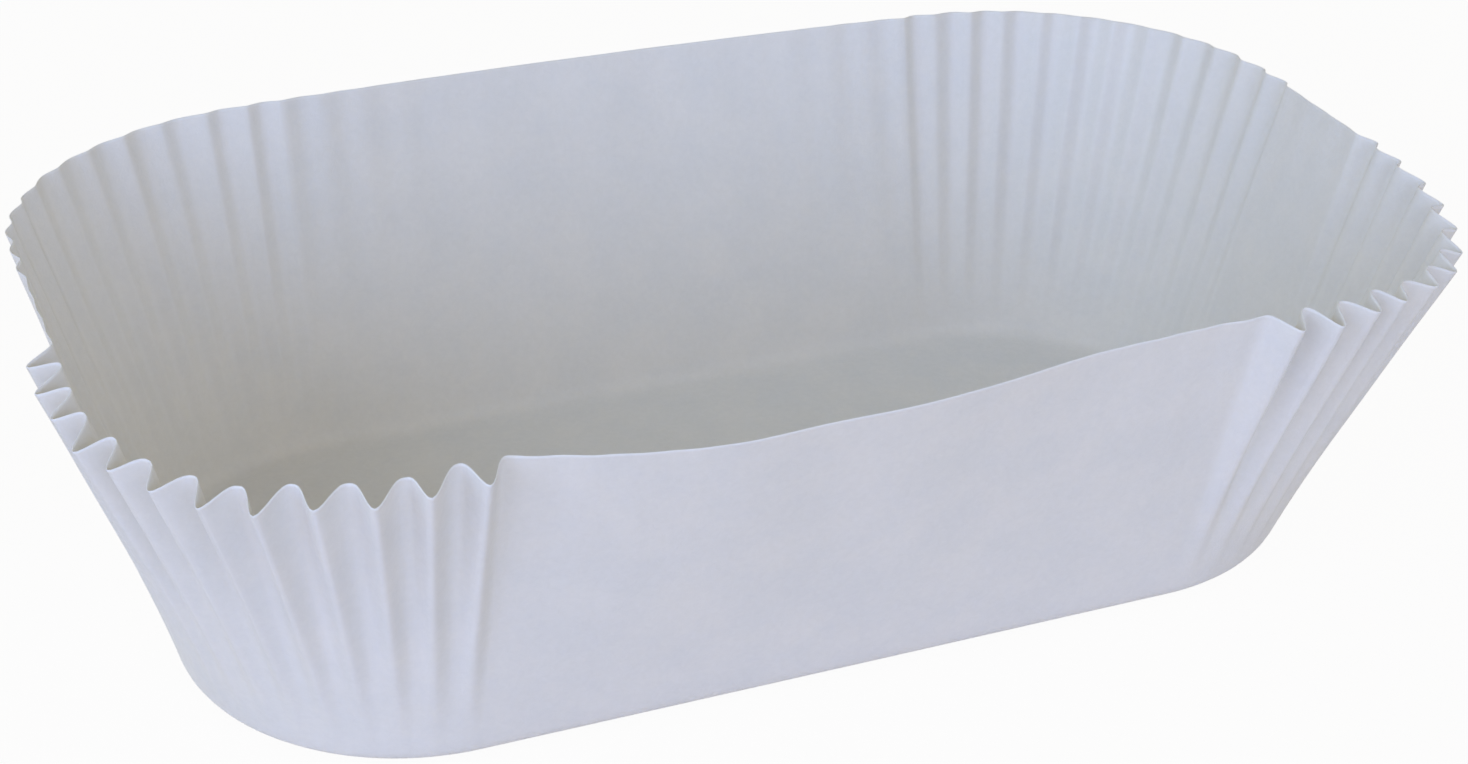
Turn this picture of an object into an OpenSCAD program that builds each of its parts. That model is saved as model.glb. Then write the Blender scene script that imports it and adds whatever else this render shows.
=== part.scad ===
// Loaf pan liner: one sheet of greaseproof paper pressed into a tray. The walls lean out from a
// flat base. Each side has a flat panel, and the spare paper at each corner is taken up in
// rounded pleats that deepen from the base edge to the rim.

/* [Base] */
// Width of the flat panel on each long side
long_panel = 106; // [60:1:160]
// Width of the flat panel on each end
end_panel = 19; // [8:1:50]
// Corner radius of the base
base_r = 33; // [24:1:45]

/* [Walls] */
// Height of the wall measured along the paper, from the base edge to the rim
wall_slant = 56; // [35:1:75]
// How far a flat panel leans out beyond the base edge at the rim
flare = 13; // [6:0.5:18]
// How much further the middle of each corner leans out at the rim
corner_swell = 4.5; // [0:0.5:6]
// Outward bow of the long panels at the rim
panel_bow = 4; // [0:0.5:6]
// Radius of the pressed bend between base and wall
edge_r = 3.5; // [1:0.25:5]

/* [Pleats] */
// Pleats in each corner
pleats = 12; // [8:1:14]
// Depth of the rounded pleats, as a share of the depth of a sharp zigzag
pleat_fullness = 0.86; // [0.5:0.02:0.94]
// Share of the wall over which the pleats rise out of the smooth bend at the base
pleat_start = 0.18; // [0.05:0.01:0.3]
// Crispness of the folds, from soft waves to straight flanks
pleat_crispness = 0.25; // [0.1:0.05:0.9]
// How much broader the folds toward the food are than the folds toward the pan
inner_rounding = 1.2; // [1:0.05:1.6]

/* [Paper] */
// Thickness of the paper
paper_t = 0.08; // [0.05:0.01:0.15]

/* [Hidden] */

// Steps round the rim in a pleat, a long panel and an end panel
pleat_steps = 8;
long_steps = 8;
end_steps = 2;
// Heights of the rings on the wall, as shares of the paper above the bend
wall_shares = [0.12, 0.32, 0.64, 1];
// Steps across the bend between base and wall
bend_steps = 2;

// Angle between base and wall, and the paper that the bend takes on each side of the edge
wall_angle = acos(flare / wall_slant);
bend_reach = edge_r * tan(wall_angle / 2);
// Arc length of a corner's quarter turn at a radius of 1
quarter_turn = PI / 2;

// A column runs up the paper from one point of the base edge. It holds the centre that the edge
// turns about, the direction that it faces, how far it stands into a pleat (0 for a fold that
// touches the food, 1 for a fold that touches the pan) and its lean at the rim.
function column(centre, angle, wave, lean) = [centre, [cos(angle), sin(angle)], wave, lean];

// Height of a rounded fold at a place in its pleat, from 0 at both ends to 1 in the middle
function fold_wave(place) =
    let (swing = asin(pleat_crispness * cos(360 * place)) / asin(pleat_crispness))
    pow(max(0, 0.5 - 0.5 * swing), inner_rounding);

// A flat panel between two corner centres, bowed outward in its middle
function panel(start, end, angle, steps, bow) =
    [for (i = [0 : steps - 1])
        let (share = i / steps)
        column(start + (end - start) * share, angle, 0, flare + bow * 4 * share * (1 - share))];

// A corner of pleats that turns a quarter turn from a starting angle
function corner(centre, angle) =
    [for (i = [0 : pleats * pleat_steps - 1])
        let (turn = 90 * i / (pleats * pleat_steps))
        column(centre, angle + turn, fold_wave(i / pleat_steps),
            flare + corner_swell * pow(sin(2 * turn), 2))];

// Corner centres, counterclockwise from the one at +X +Y
corners = [for (s = [[1, 1], [-1, 1], [-1, -1], [1, -1]]) [s.x * long_panel, s.y * end_panel] / 2];

columns = concat(
    panel(corners[3], corners[0], 0, end_steps, 0), corner(corners[0], 0),
    panel(corners[0], corners[1], 90, long_steps, panel_bow), corner(corners[1], 90),
    panel(corners[1], corners[2], 180, end_steps, 0), corner(corners[2], 180),
    panel(corners[2], corners[3], 270, long_steps, panel_bow), corner(corners[3], 270));

// How far a pleat has grown to its full depth, from 0 at the base edge to nearly 1 at the rim
function growth(length) = 1 - exp(-length / (pleat_start * wall_slant));

// Depth of a pleat where the paper has gone a length up from the base edge and its inner folds
// have moved out by outset. Full pleats take up the spare arc length of the flat sheet.
function pleat_depth(length, outset) =
    pleat_fullness * growth(length) * quarter_turn / (2 * pleats)
        * sqrt(pow(base_r + length, 2) - pow(base_r + outset, 2));

// How far a column stands beyond the base edge at a length up the paper
function reach(col, length) =
    let (outset = length / wall_slant * col[3])
    outset + col[2] * pleat_depth(length, outset);

// Point of a column at a length from the base edge: on the base below 0, on the wall above 0
function paper_point(col, length) =
    let (out = length > 0 ? reach(col, length) : length)
    let (rise = length > 0 ? sqrt(pow(length, 2) - pow(out, 2)) : 0)
    let (foot = col[0] + (base_r + out) * col[1])
    [foot.x, foot.y, rise];

// Point in the bend between base and wall, on a curve that leaves both smoothly
function bend_point(col, share) =
    pow(1 - share, 2) * paper_point(col, -bend_reach)
        + 2 * share * (1 - share) * paper_point(col, 0)
        + pow(share, 2) * paper_point(col, bend_reach);

// Rings of points on the underside of the paper, from the flat of the base up to the rim
rings = concat(
    [for (i = [0 : bend_steps]) [for (col = columns) bend_point(col, i / bend_steps)]],
    [for (share = wall_shares)
        let (length = bend_reach + share * (wall_slant - bend_reach))
        [for (col = columns) paper_point(col, length)]]);
last_ring = len(rings) - 1;
count = len(columns);

// Direction through the paper at a point, from the pan's side to the food's side
function through_paper(ring, i) =
    let (along = rings[ring][(i + 1) % count] - rings[ring][(i + count - 1) % count])
    let (up = rings[min(ring + 1, last_ring)][i] - rings[max(ring - 1, 0)][i])
    let (normal = cross(up, along))
    ring == 0 ? [0, 0, 1] : normal / norm(normal);

// The same rings on the upper side of the paper
upper_rings = [for (ring = [0 : last_ring])
    [for (i = [0 : count - 1]) rings[ring][i] + paper_t * through_paper(ring, i)]];

// Places in the list of points: the underside, the upper side, then the middle of the base twice
function under(ring, i) = ring * count + i % count;
function upper(ring, i) = (last_ring + 1 + ring) * count + i % count;
base_under = 2 * (last_ring + 1) * count;
base_upper = base_under + 1;

module liner() {
    points = concat([for (ring = rings) each ring], [for (ring = upper_rings) each ring],
        [[0, 0, 0], [0, 0, paper_t]]);
    under_faces = [for (r = [0 : last_ring - 1], i = [0 : count - 1])
        each [[under(r, i), under(r + 1, i), under(r + 1, i + 1)],
            [under(r, i), under(r + 1, i + 1), under(r, i + 1)]]];
    upper_faces = [for (r = [0 : last_ring - 1], i = [0 : count - 1])
        each [[upper(r, i), upper(r + 1, i + 1), upper(r + 1, i)],
            [upper(r, i), upper(r, i + 1), upper(r + 1, i + 1)]]];
    rim_faces = [for (i = [0 : count - 1])
        each [[upper(last_ring, i), upper(last_ring, i + 1), under(last_ring, i + 1)],
            [upper(last_ring, i), under(last_ring, i + 1), under(last_ring, i)]]];
    base_faces = [for (i = [0 : count - 1])
        each [[base_under, under(0, i), under(0, i + 1)],
            [base_upper, upper(0, i + 1), upper(0, i)]]];
    color("whitesmoke")
        polyhedron(points, concat(under_faces, upper_faces, rim_faces, base_faces), convexity = 8);
}

liner();
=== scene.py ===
"""A loaf pan liner pressed from one sheet of white greaseproof paper, on a plain pale floor."""

import math
import random

import bpy
import numpy as np
from mathutils import Matrix, Vector


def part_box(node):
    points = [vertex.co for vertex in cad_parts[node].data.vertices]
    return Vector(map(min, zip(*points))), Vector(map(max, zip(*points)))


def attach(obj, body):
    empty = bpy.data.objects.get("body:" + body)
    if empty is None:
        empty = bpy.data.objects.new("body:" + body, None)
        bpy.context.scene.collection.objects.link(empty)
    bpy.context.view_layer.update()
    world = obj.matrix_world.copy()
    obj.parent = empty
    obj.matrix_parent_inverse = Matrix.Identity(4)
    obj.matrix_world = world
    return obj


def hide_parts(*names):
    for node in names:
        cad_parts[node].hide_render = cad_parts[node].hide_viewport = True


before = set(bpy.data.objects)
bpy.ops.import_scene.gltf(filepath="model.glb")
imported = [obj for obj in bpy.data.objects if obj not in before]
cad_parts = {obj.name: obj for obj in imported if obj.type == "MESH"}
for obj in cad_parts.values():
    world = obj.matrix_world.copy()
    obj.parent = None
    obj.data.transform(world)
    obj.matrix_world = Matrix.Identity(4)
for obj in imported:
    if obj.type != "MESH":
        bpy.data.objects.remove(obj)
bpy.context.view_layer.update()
liner_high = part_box("liner")[1]

# Sizes of the liner, in metres. They are those of the solid that the mesh stands for.
MM = 0.001
LONG_PANEL = 106 * MM
END_PANEL = 19 * MM
BASE_R = 33 * MM
WALL_SLANT = 56 * MM
FLARE = 13 * MM
CORNER_SWELL = 4.5 * MM
PANEL_BOW = 4 * MM
EDGE_R = 3.5 * MM
PAPER_T = 0.08 * MM
PLEATS = 12
PLEAT_FULLNESS = 0.86
PLEAT_CRISPNESS = 0.25
QUARTER_TURN = math.pi / 2
BEND_REACH = EDGE_R * math.tan(math.acos(FLARE / WALL_SLANT) / 2)

# How finely the paper is cut into faces
PLEAT_STEPS = 14
LONG_STEPS = 96
END_STEPS = 20
WALL_RINGS = 26
RIM_BAND = 0.5 * MM
BEND_RINGS = 6
BASE_RINGS = 6

# How far one pleat may differ from the next, as shares of its width, its depth and its middle
WIDTH_SPREAD = 0.10
DEPTH_SPREAD = 0.10
SKEW_SPREAD = 0.08
FOLD_SPREAD = 0.35 * MM
# How far the pleats stand out at the two ends of each corner, counterclockwise from the corner at
# +X +Y. The two far corners have been pressed flatter than the others.
CORNER_DEPTHS = ((0.36, 0.33), (0.19, 0.2), (1.1, 1.25), (1.12, 0.55))
# How the pleats rise out of the bend: the share of the wall over which each corner's pleats grow,
# and how gently they start
CORNER_GROWTH = (0.26, 0.15, 0.7, 0.6)
PLEAT_ONSET = 1.5
# How much broader each corner's folds toward the food are than its folds toward the pan
CORNER_ROUNDING = (0.85, 0.75, 1.45, 1.3)
# Faint waves that carry on from the pleats into a panel: their pitch and reach
ECHO_PITCH = 6.6 * MM
ECHO_REACH = 12 * MM
# Small waves of the panels: how many half waves each has, their height, the height of the pleats'
# echoes, and how much further one half of the panel bows out than the other
LONG_WAVES = (2, 3, 5, 8, 13)
END_WAVES = (2, 3)
FAR_RIPPLE, FAR_ECHO, FAR_SWAY = 0.4 * MM, 0.85 * MM, 0.3 * MM
NEAR_RIPPLE, NEAR_ECHO, NEAR_SWAY = 0.45 * MM, 0.3 * MM, 1.7 * MM
END_RIPPLE, END_ECHO, END_SWAY = 0.1 * MM, 0.2 * MM, 0
# Soft unevenness of all the walls, which grows towards the rim, and of the base
WALL_WAVE = 0.13 * MM
BASE_WAVE = 0.12 * MM
# Strength of the painted highlight along the folds, where the painted highlight on the rim is 1
FOLD_HIGHLIGHT_PAINT = 0.3
SEED = 21

# Share of white in what the camera sees of the floor, the side of the floor and how far it lies
# below the liner
FLOOR_WHITE = 0.95
FLOOR_SIZE = 8.0
FLOOR_DROP = 0.2 * MM
# Distance of the softboxes from the liner, and their diameter
LAMP_DISTANCE = 1.4
LAMP_SIZE = 1.1


class Column:
    """One line up the paper, from the flat base to the rim."""

    def __init__(self, centre, angle, rim_angle, wave, lean, depth=1.0, growth=1.0, drift=0.0,
                 painted_highlight=0.0):
        self.centre = np.array(centre)
        self.angle = angle
        self.rim_angle = rim_angle
        self.wave = wave
        self.lean = lean
        self.depth = depth
        self.growth = growth
        self.drift = drift
        self.painted_highlight = painted_highlight


def fold_wave(place, rounding):
    """Height of a rounded fold at a place in its pleat, from 0 at both ends to 1 in the middle."""
    swing = math.asin(PLEAT_CRISPNESS * math.cos(2 * math.pi * place))
    return max(0, 0.5 - 0.5 * swing / math.asin(PLEAT_CRISPNESS)) ** rounding


def panel_columns(start, end, angle, steps, bow, ripple):
    """A flat panel between two corner centres, with its small waves at each share of its width."""
    columns = []
    for i in range(steps):
        share = i / steps
        centre = [start[0] + (end[0] - start[0]) * share, start[1] + (end[1] - start[1]) * share]
        lean = FLARE + bow * 4 * share * (1 - share)
        columns.append(Column(centre, angle, angle, 0, lean, drift=ripple(share)))
    return columns


def corner_columns(centre, start_angle, depths, growth, rounding, rng):
    """A corner of pleats whose widths, depths and middles differ a little, as in pressed paper."""
    widths = [1 + rng.uniform(-WIDTH_SPREAD, WIDTH_SPREAD) for _ in range(PLEATS)]
    edges = np.concatenate([[0], np.cumsum(widths)]) / sum(widths)
    inward = [0] + [rng.uniform(-FOLD_SPREAD, FOLD_SPREAD) for _ in range(PLEATS - 1)] + [0]
    columns = []
    for pleat in range(PLEATS):
        depth = depths[0] + (depths[1] - depths[0]) * pleat / (PLEATS - 1)
        depth *= 1 + rng.uniform(-DEPTH_SPREAD, DEPTH_SPREAD)
        skew = rng.uniform(-SKEW_SPREAD, SKEW_SPREAD)
        for step in range(PLEAT_STEPS):
            place = step / PLEAT_STEPS
            wave = fold_wave(place, rounding)
            turn = (pleat + place) / PLEATS
            moved = place + skew * math.sin(math.pi * place) ** 2
            rim_turn = edges[pleat] + (edges[pleat + 1] - edges[pleat]) * moved
            swell = CORNER_SWELL * math.sin(2 * QUARTER_TURN * rim_turn) ** 2
            drift = inward[pleat] + (inward[pleat + 1] - inward[pleat]) * place
            # Painted highlight along each fold line, strongest where the wave is at 0 or 1
            painted_highlight = max(0, 1 - 8 * min(wave, 1 - wave))
            columns.append(Column(centre, start_angle + QUARTER_TURN * turn,
                                  start_angle + QUARTER_TURN * rim_turn, wave,
                                  FLARE + swell, depth, growth, drift, painted_highlight))
    return columns


def panel_ripple(rng, width, waves, size, echo_size, sway):
    """Small waves across a panel: a few broad ones, and echoes of the pleats at both ends."""
    parts = [(k, rng.uniform(-size, size) / k ** 0.5, rng.uniform(0, math.tau)) for k in waves]

    def echo(distance):
        wave = math.sin(math.pi * distance / ECHO_PITCH) ** 2
        return echo_size * wave * math.exp(-distance / ECHO_REACH)

    def ripple(share):
        fade = math.sin(math.pi * share) ** 0.5 if 0 < share < 1 else 0
        broad = fade * sum(a * math.sin(math.pi * k * share + p) for k, a, p in parts)
        broad += sway * math.sin(math.tau * share)
        return broad + echo(share * width) + echo((1 - share) * width)

    return ripple


def pleat_depth(length, outset, growth):
    """Depth of a pleat a length up the paper, where its inner folds have moved out by outset."""
    spare = (BASE_R + length) ** 2 - (BASE_R + outset) ** 2
    grown = 1 - math.exp(-(length / (growth * WALL_SLANT)) ** PLEAT_ONSET)
    return PLEAT_FULLNESS * grown * QUARTER_TURN / (2 * PLEATS) * math.sqrt(spare)


def wall_wave(foot, length):
    """Soft waves of a few centimetres that no two parts of the walls share."""
    x, y = foot
    rise = math.sin(115 * length + 61 * x - 47 * y)
    swing = math.sin(171 * x + 140 * y + 1.4 * rise)
    swing += 0.6 * math.sin(320 * x - 262 * y + 70 * length)
    return WALL_WAVE * length / WALL_SLANT * swing


def paper_point(column, length):
    """Point of a column at a length from the base edge: on the base below 0, on the wall above."""
    share = max(length, 0) / WALL_SLANT
    angle = column.angle + (column.rim_angle - column.angle) * share
    if length <= 0:
        out, rise = length, 0
    else:
        outset = share * column.lean
        out = outset + column.wave * column.depth * pleat_depth(length, outset, column.growth)
        start = column.centre + BASE_R * np.array([math.cos(angle), math.sin(angle)])
        out += column.drift * share ** 1.5 + wall_wave(start, length)
        rise = math.sqrt(length ** 2 - out ** 2)
    foot = column.centre + (BASE_R + out) * np.array([math.cos(angle), math.sin(angle)])
    return np.array([foot[0], foot[1], rise])


def bend_point(column, share):
    """Point in the bend between base and wall, on a curve that leaves both smoothly."""
    ends = [paper_point(column, d) for d in (-BEND_REACH, 0, BEND_REACH)]
    return (1 - share) ** 2 * ends[0] + 2 * share * (1 - share) * ends[1] + share ** 2 * ends[2]


def base_lift(x, y):
    """Small soft unevenness of the base, which never dips below the surface that it lies on."""
    wave = math.sin(61 * x + 1.3) * math.cos(83 * y - 0.4) + 0.5 * math.sin(139 * x - 97 * y)
    return BASE_WAVE * (1.5 + wave)


def liner_rings(columns):
    """Rings of points on the underside of the paper, from near the base's middle to the rim."""
    first = [bend_point(c, 0) for c in columns]
    rings = []
    for i in range(1, BASE_RINGS + 1):
        share = i / (BASE_RINGS + 1)
        rings.append([p * share for p in first])
    rings += [[bend_point(c, i / BEND_RINGS) for c in columns] for i in range(BEND_RINGS + 1)]
    top = WALL_SLANT - RIM_BAND
    lengths = [BEND_REACH + (top - BEND_REACH) * i / WALL_RINGS for i in range(1, WALL_RINGS + 1)]
    rings += [[paper_point(c, length) for c in columns] for length in lengths + [WALL_SLANT]]
    grid = np.array(rings)
    for i in range(BASE_RINGS):
        fade = 1 - ((i + 1) / (BASE_RINGS + 1)) ** 4
        for point in grid[i]:
            point[2] = fade * base_lift(point[0], point[1])
    return grid


def liner_columns():
    """The columns all round the liner, from the end panel at +X, counterclockwise."""
    rng = random.Random(SEED)
    x, y = LONG_PANEL / 2, END_PANEL / 2
    centres = [(x, y), (-x, y), (-x, -y), (x, -y)]
    end_ripple = (END_RIPPLE, END_ECHO, END_SWAY)
    ripples = [end_ripple, (FAR_RIPPLE, FAR_ECHO, FAR_SWAY), end_ripple,
               (NEAR_RIPPLE, NEAR_ECHO, NEAR_SWAY)]
    columns = []
    for i in range(4):
        before, centre = centres[i - 1], centres[i]
        is_long = i % 2 == 1
        bow = PANEL_BOW if is_long else 0
        steps = LONG_STEPS if is_long else END_STEPS
        width = LONG_PANEL if is_long else END_PANEL
        waves = LONG_WAVES if is_long else END_WAVES
        ripple = panel_ripple(rng, width, waves, *ripples[i])
        angle = QUARTER_TURN * i
        columns += panel_columns(before, centre, angle, steps, bow, ripple)
        columns += corner_columns(centre, angle, CORNER_DEPTHS[i], CORNER_GROWTH[i],
                                  CORNER_ROUNDING[i], rng)
    return columns


def upper_side(under):
    """The same rings on the upper side of the paper."""
    along = np.roll(under, -1, axis=1) - np.roll(under, 1, axis=1)
    up = np.empty_like(under)
    up[1:-1] = under[2:] - under[:-2]
    up[0] = under[1] - under[0]
    up[-1] = under[-1] - under[-2]
    normal = np.cross(up, along)
    normal /= np.linalg.norm(normal, axis=2, keepdims=True)
    return under + PAPER_T * normal


def sheet_faces(ring_count, count):
    """Faces of the underside, the upper side and the rim. The last two points are the middles."""
    side = ring_count * count
    middle_under, middle_upper = 2 * side, 2 * side + 1
    faces = []
    for i in range(count):
        j = (i + 1) % count
        faces.append((middle_under, j, i))
        faces.append((middle_upper, side + i, side + j))
        for r in range(ring_count - 1):
            a, b = r * count, (r + 1) * count
            faces.append((a + i, a + j, b + j, b + i))
            faces.append((side + a + j, side + a + i, side + b + i, side + b + j))
        top = (ring_count - 1) * count
        faces.append((top + i, top + j, side + top + j, side + top + i))
    return faces


def painted_highlight_values(columns, under, point_count):
    """How much painted highlight each point gets: 1 along the rim, and less along the folds."""
    ring_count, count = under.shape[:2]
    side = ring_count * count
    painted_highlights = np.zeros(point_count, np.float32)
    heights = np.clip(under[:, :, 2].reshape(-1) / liner_high.z, 0, 1)
    folds = np.tile([c.painted_highlight for c in columns], ring_count)
    # Painted highlight: paler along the folds, rising over the lowest third of the height, and
    # fully pale on the rim rings
    painted_highlights[:side] = painted_highlights[side:2 * side] = FOLD_HIGHLIGHT_PAINT * folds * np.minimum(1, heights * 3)
    painted_highlights[side - count:side] = painted_highlights[2 * side - count:2 * side] = 1
    return painted_highlights


def build_liner():
    columns = liner_columns()
    under = liner_rings(columns)
    upper = upper_side(under)
    middle = base_lift(0, 0)
    points = np.concatenate([under.reshape(-1, 3), upper.reshape(-1, 3),
                             [[0, 0, middle], [0, 0, middle + PAPER_T]]])
    mesh = bpy.data.meshes.new("liner_paper")
    mesh.from_pydata(points.tolist(), [], sheet_faces(*under.shape[:2]))
    mesh.update()
    mesh.polygons.foreach_set("use_smooth", [True] * len(mesh.polygons))
    layer = mesh.attributes.new("painted_highlight", "FLOAT", "POINT")
    layer.data.foreach_set("value", painted_highlight_values(columns, under, len(points)))
    liner = bpy.data.objects.new("liner_paper", mesh)
    bpy.context.scene.collection.objects.link(liner)
    return liner


def add_node(tree, kind, inputs=None, **settings):
    """Adds a shader node with its settings and its unlinked inputs."""
    node = tree.nodes.new(kind)
    for name, value in settings.items():
        setattr(node, name, value)
    for name, value in (inputs or {}).items():
        node.inputs[name].default_value = value
    return node


def paper_material():
    """Smooth white greaseproof paper: a cloudy body, fine fibres, and a painted highlight along
    the folds and the rim.
    """
    material = bpy.data.materials.new("greaseproof_paper")
    material.use_nodes = True
    tree = material.node_tree
    link = tree.links.new
    shader = tree.nodes["Principled BSDF"]
    shader.inputs["Specular IOR Level"].default_value = 0.35
    shader.inputs["Subsurface Weight"].default_value = 0.35
    shader.inputs["Subsurface Radius"].default_value = (1.0, 0.9, 0.75)
    shader.inputs["Subsurface Scale"].default_value = 0.3 * MM
    place = add_node(tree, "ShaderNodeTexCoord")
    cloud = add_node(tree, "ShaderNodeTexNoise",
                     {"Scale": 110.0, "Detail": 3.0, "Roughness": 0.55})
    fibre = add_node(tree, "ShaderNodeTexNoise",
                     {"Scale": 900.0, "Detail": 5.0, "Roughness": 0.7, "Distortion": 0.6})
    grain = add_node(tree, "ShaderNodeTexNoise",
                     {"Scale": 2600.0, "Detail": 3.0, "Roughness": 0.6})
    for texture in (cloud, fibre, grain):
        link(place.outputs["Object"], texture.inputs["Vector"])

    body = add_node(tree, "ShaderNodeMix", data_type="RGBA")
    body.inputs["A"].default_value = (0.783, 0.776, 0.754, 1)
    body.inputs["B"].default_value = (0.82, 0.802, 0.766, 1)
    spread = add_node(tree, "ShaderNodeMapRange",
                      {"From Min": 0.35, "From Max": 0.65, "To Min": 0.0, "To Max": 1.0})
    link(cloud.outputs["Fac"], spread.inputs["Value"])
    link(spread.outputs["Result"], body.inputs["Factor"])
    fleck = add_node(tree, "ShaderNodeMix", data_type="RGBA", blend_type="MULTIPLY")
    fleck.inputs["B"].default_value = (0.96, 0.96, 0.96, 1)
    fleck_amount = add_node(tree, "ShaderNodeMapRange",
                            {"From Min": 0.3, "From Max": 0.7, "To Min": 0.0, "To Max": 1.0})
    link(fibre.outputs["Fac"], fleck_amount.inputs["Value"])
    link(fleck_amount.outputs["Result"], fleck.inputs["Factor"])
    link(body.outputs["Result"], fleck.inputs["A"])
    # A paler colour painted along the folds and the rim as a highlight
    painted_highlight = add_node(tree, "ShaderNodeAttribute", attribute_name="painted_highlight")
    painted_highlight_amount = add_node(tree, "ShaderNodeMath", {1: 0.5}, operation="MULTIPLY")
    link(painted_highlight.outputs["Fac"], painted_highlight_amount.inputs[0])
    pale = add_node(tree, "ShaderNodeMix", data_type="RGBA")
    pale.inputs["B"].default_value = (0.9, 0.895, 0.88, 1)
    link(painted_highlight_amount.outputs["Value"], pale.inputs["Factor"])
    link(fleck.outputs["Result"], pale.inputs["A"])
    link(pale.outputs["Result"], shader.inputs["Base Color"])

    rough = add_node(tree, "ShaderNodeMapRange",
                     {"From Min": 0.3, "From Max": 0.7, "To Min": 0.5, "To Max": 0.68})
    link(fibre.outputs["Fac"], rough.inputs["Value"])
    link(rough.outputs["Result"], shader.inputs["Roughness"])

    coarse = add_node(tree, "ShaderNodeBump", {"Strength": 0.25, "Distance": 0.25 * MM})
    fine = add_node(tree, "ShaderNodeBump", {"Strength": 0.2, "Distance": 0.06 * MM})
    link(fibre.outputs["Fac"], coarse.inputs["Height"])
    link(grain.outputs["Fac"], fine.inputs["Height"])
    link(coarse.outputs["Normal"], fine.inputs["Normal"])
    link(fine.outputs["Normal"], shader.inputs["Normal"])
    return material


def seen_rays(tree):
    """Output that is 1 for the rays that show the background: camera, glossy and transmission."""
    rays = add_node(tree, "ShaderNodeLightPath")
    total = rays.outputs["Is Camera Ray"]
    for name in ("Is Glossy Ray", "Is Transmission Ray"):
        both = add_node(tree, "ShaderNodeMath", operation="MAXIMUM")
        tree.links.new(total, both.inputs[0])
        tree.links.new(rays.outputs[name], both.inputs[1])
        total = both.outputs["Value"]
    return total


def floor_material():
    """A pale floor that keeps the object's shadow and reads as white to the camera."""
    material = bpy.data.materials.new("floor")
    material.use_nodes = True
    tree = material.node_tree
    link = tree.links.new
    shader = tree.nodes["Principled BSDF"]
    shader.inputs["Base Color"].default_value = (0.8, 0.72, 0.64, 1)
    shader.inputs["Roughness"].default_value = 0.9
    white = add_node(tree, "ShaderNodeEmission", {"Color": (1, 1, 1, 1), "Strength": 1.0})
    mix = add_node(tree, "ShaderNodeMixShader")
    amount = add_node(tree, "ShaderNodeMath", {1: FLOOR_WHITE}, operation="MULTIPLY")
    link(seen_rays(tree), amount.inputs[0])
    link(amount.outputs["Value"], mix.inputs["Fac"])
    link(shader.outputs["BSDF"], mix.inputs[1])
    link(white.outputs["Emission"], mix.inputs[2])
    link(mix.outputs["Shader"], tree.nodes["Material Output"].inputs["Surface"])
    return material


def add_floor():
    far, low = FLOOR_SIZE / 2, -FLOOR_DROP
    mesh = bpy.data.meshes.new("floor")
    mesh.from_pydata([(-far, -far, low), (far, -far, low), (far, far, low), (-far, far, low)],
                     [], [(0, 1, 2, 3)])
    floor = bpy.data.objects.new("floor", mesh)
    floor.data.materials.append(floor_material())
    bpy.context.scene.collection.objects.link(floor)


def add_world():
    """A soft, slightly warm sky that the camera sees as white."""
    world = bpy.data.worlds.new("studio")
    world.use_nodes = True
    tree = world.node_tree
    link = tree.links.new
    sky = tree.nodes["Background"]
    sky.inputs["Color"].default_value = (1.0, 0.94, 0.79, 1)
    sky.inputs["Strength"].default_value = 0.442
    white = add_node(tree, "ShaderNodeBackground", {"Color": (1, 1, 1, 1), "Strength": 1.0})
    mix = add_node(tree, "ShaderNodeMixShader")
    link(seen_rays(tree), mix.inputs["Fac"])
    link(sky.outputs["Background"], mix.inputs[1])
    link(white.outputs["Background"], mix.inputs[2])
    link(mix.outputs["Shader"], tree.nodes["World Output"].inputs["Surface"])
    bpy.context.scene.world = world


def direction(azimuth, elevation):
    """Unit vector from the liner towards a place, where azimuth 0 is straight in front."""
    a, e = math.radians(azimuth), math.radians(elevation)
    return Vector((math.sin(a) * math.cos(e), -math.cos(a) * math.cos(e), math.sin(e)))


def add_softbox(name, azimuth, elevation, power, color):
    """A round soft lamp that faces the liner."""
    lamp = bpy.data.lights.new(name, "AREA")
    lamp.shape = "DISK"
    lamp.size = LAMP_SIZE
    lamp.energy = power
    lamp.color = color
    holder = bpy.data.objects.new(name, lamp)
    holder.location = direction(azimuth, elevation) * LAMP_DISTANCE
    holder.rotation_euler = (-holder.location).to_track_quat("-Z", "Y").to_euler()
    bpy.context.scene.collection.objects.link(holder)


# The camera stands at the near left of the liner and looks down into it
IMAGE_W, IMAGE_H = 1468, 764
VIEW_AZIMUTH = -23.5
VIEW_ELEVATION = 29.8
VIEW_ROLL = 1.9
VIEW_DISTANCE = 0.377
FOCAL_PIXELS = 2585
VIEW_TARGET = (-2.9 * MM, -7.2 * MM, 28.8 * MM)
SENSOR_W = 36.0


def add_camera():
    data = bpy.data.cameras.new("camera")
    data.sensor_width = SENSOR_W
    data.lens = FOCAL_PIXELS / IMAGE_W * SENSOR_W
    data.clip_start = 0.01
    data.clip_end = 20
    camera = bpy.data.objects.new("camera", data)
    toward = direction(VIEW_AZIMUTH, VIEW_ELEVATION)
    turn = toward.to_track_quat("Z", "Y").to_matrix().to_4x4()
    roll = Matrix.Rotation(math.radians(VIEW_ROLL), 4, "Z")
    place = Matrix.Translation(Vector(VIEW_TARGET) + toward * VIEW_DISTANCE)
    camera.matrix_world = place @ turn @ roll
    bpy.context.scene.collection.objects.link(camera)
    bpy.context.scene.camera = camera


liner = build_liner()
liner.data.materials.append(paper_material())
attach(liner, "root")
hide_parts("liner")

add_floor()
add_world()
add_softbox("key", -60, 20, 8.0, (0.5, 0.61, 1.0))
add_softbox("front", 0, 20, 7.7, (0.49, 0.62, 1.0))
add_softbox("left", -90, 35, 2.2, (0.47, 0.8, 1.0))
add_camera()

bpy.context.scene.view_settings.view_transform = "Standard"
